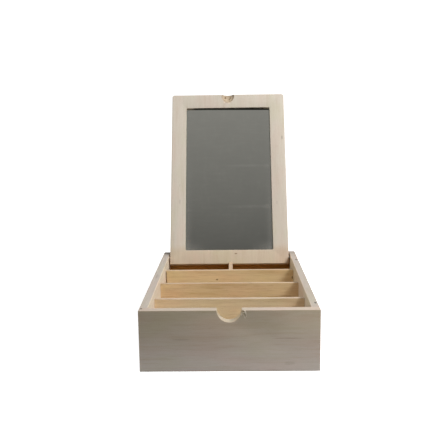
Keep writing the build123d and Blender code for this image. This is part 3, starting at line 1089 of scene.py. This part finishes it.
class VANITY_OT_stage(bpy.types.Operator):
    """Set out the floor, the lamps, the surroundings and the camera"""

    bl_idname = "vanity_box.stage"
    bl_label = "Stage"

    def execute(self, context):
        self.floor()
        self.lamps()
        self.surroundings(context.scene)
        self.camera(context.scene)
        context.scene.view_settings.view_transform = "Standard"
        return {"FINISHED"}

    def floor(self):
        """A white sheet that sweeps up all round, far from the box."""
        deselect_all()
        bpy.ops.mesh.primitive_circle_add(vertices=64, radius=FLOOR_RADIUS, fill_type="NGON")
        sheet = settle("studio_sheet")
        bpy.context.tool_settings.mesh_select_mode = (False, True, False)
        bpy.ops.object.mode_set(mode="EDIT")
        bpy.ops.mesh.select_all(action="SELECT")
        bpy.ops.mesh.region_to_loop()
        for grow, rise in FLOOR_SWEEP:
            bpy.ops.mesh.extrude_edges_move(TRANSFORM_OT_translate={"value": (0, 0, rise)})
            bpy.ops.transform.resize(value=(grow, grow, 1))
        bpy.ops.object.mode_set(mode="OBJECT")
        smooth(sheet)
        sheet.visible_diffuse = False

        finish, tree, shader = new_finish("studio_white")
        source = add_node(tree, "ShaderNodeTexCoord").outputs["Object"]
        glow = spread(tree, vectors(tree, "LENGTH", source), 0.15, 0.60, 0.72, 1.0)
        feed(tree, shader, {"Emission Strength": glow, "Emission Color": (1, 1, 1, 1)})
        feed(tree, shader, {"Base Color": (0.92, 0.92, 0.92, 1), "Roughness": 0.9})
        feed(tree, shader, {"Specular IOR Level": 0.0})
        sheet.data.materials.append(finish)

    def lamps(self):
        for name, place, size, power, tint in LAMPS:
            add_lamp(name, place, LAMP_TARGET, size, power, tint)
        above = (BOUNCE_PLACE[X], BOUNCE_PLACE[Y], 1)
        bounce = add_lamp("floor_bounce", BOUNCE_PLACE, above, BOUNCE_SIZE, 0.10, COOL_WHITE)
        bounce.visible_glossy = False

    def surroundings(self, scene):
        world = bpy.data.worlds.new("studio_room")
        scene.world = world
        world.use_nodes = True
        tree = world.node_tree
        direction = add_node(tree, "ShaderNodeTexCoord").outputs["Generated"]
        height = split(tree, direction)[Z]
        shades = add_node(tree, "ShaderNodeValToRGB", {0: maths(tree, "MULTIPLY_ADD", height, 0.5, 0.5)})
        stops = shades.color_ramp.elements
        for stop, grey in zip(stops, (ROOM_FOOT, ROOM_TOP)):
            stop.color = (grey, grey, grey, 1)
        for position, grey in ROOM_GREYS:
            stops.new(position).color = (grey, grey, grey * ROOM_WARMTH, 1)
        feed(tree, tree.nodes["Background"], {"Color": shades.outputs["Color"], "Strength": 1.0})

    def camera(self, scene):
        ahead = Vector((math.sin(CAMERA_YAW), math.cos(CAMERA_YAW), 0))
        forward = ahead * math.cos(CAMERA_PITCH) - Vector((0, 0, math.sin(CAMERA_PITCH)))
        level = Vector((math.cos(CAMERA_YAW), -math.sin(CAMERA_YAW), 0))
        down = forward.cross(level)
        right = level * math.cos(CAMERA_ROLL) + down * math.sin(CAMERA_ROLL)
        down = down * math.cos(CAMERA_ROLL) - level * math.sin(CAMERA_ROLL)
        data = bpy.data.cameras.new("camera")
        camera = bpy.data.objects.new("camera", data)
        scene.collection.objects.link(camera)
        turn = Matrix((right, -down, -forward)).transposed()
        camera.matrix_world = Matrix.Translation(CAMERA_PLACE) @ turn.to_4x4()
        data.sensor_width = 36.0
        data.lens = CAMERA_LENS
        data.clip_start = 0.01
        data.clip_end = 50.0
        scene.camera = camera


def add_lamp(name, place, target, size, power, tint):
    """A soft flat lamp that points at a target and isn't seen itself."""
    data = bpy.data.lights.new(name, "AREA")
    data.shape = "RECTANGLE"
    data.size, data.size_y = size
    data.energy = power
    data.color = tint
    lamp = bpy.data.objects.new(name, data)
    bpy.context.scene.collection.objects.link(lamp)
    lamp.location = place
    lamp.rotation_euler = (Vector(target) - Vector(place)).to_track_quat("-Z", "Y").to_euler()
    lamp.visible_camera = False
    return lamp


class VANITY_PT_panel(bpy.types.Panel):
    bl_idname = "VANITY_PT_panel"
    bl_label = "Wooden vanity box"
    bl_space_type = "VIEW_3D"
    bl_region_type = "UI"
    bl_category = "Vanity box"

    def draw(self, context):
        for step in STEPS:
            self.layout.operator(step.bl_idname)
        for group in (context.scene.vanity_box_sizes, context.scene.vanity_box_colours):
            for key in group.bl_rna.properties.keys():
                if key not in ("rna_type", "name"):
                    self.layout.prop(group, key)


STEPS = (
    VANITY_OT_notched_front,
    VANITY_OT_box_boards,
    VANITY_OT_partitions,
    VANITY_OT_lid_surround,
    VANITY_OT_mirror,
    VANITY_OT_fittings,
    VANITY_OT_stage,
)
CLASSES = (VanityBoxSizes, VanityBoxColours, *STEPS, VANITY_PT_panel)


def register():
    for item in CLASSES:
        bpy.utils.register_class(item)
    bpy.types.Scene.vanity_box_sizes = bpy.props.PointerProperty(type=VanityBoxSizes)
    bpy.types.Scene.vanity_box_colours = bpy.props.PointerProperty(type=VanityBoxColours)


def unregister():
    del bpy.types.Scene.vanity_box_sizes
    del bpy.types.Scene.vanity_box_colours
    for item in reversed(CLASSES):
        bpy.utils.unregister_class(item)


def main():
    """Do every step in turn."""
    register()
    for step in STEPS:
        getattr(bpy.ops.vanity_box, step.bl_idname.partition(".")[2])()


if __name__ == "__main__":
    main()
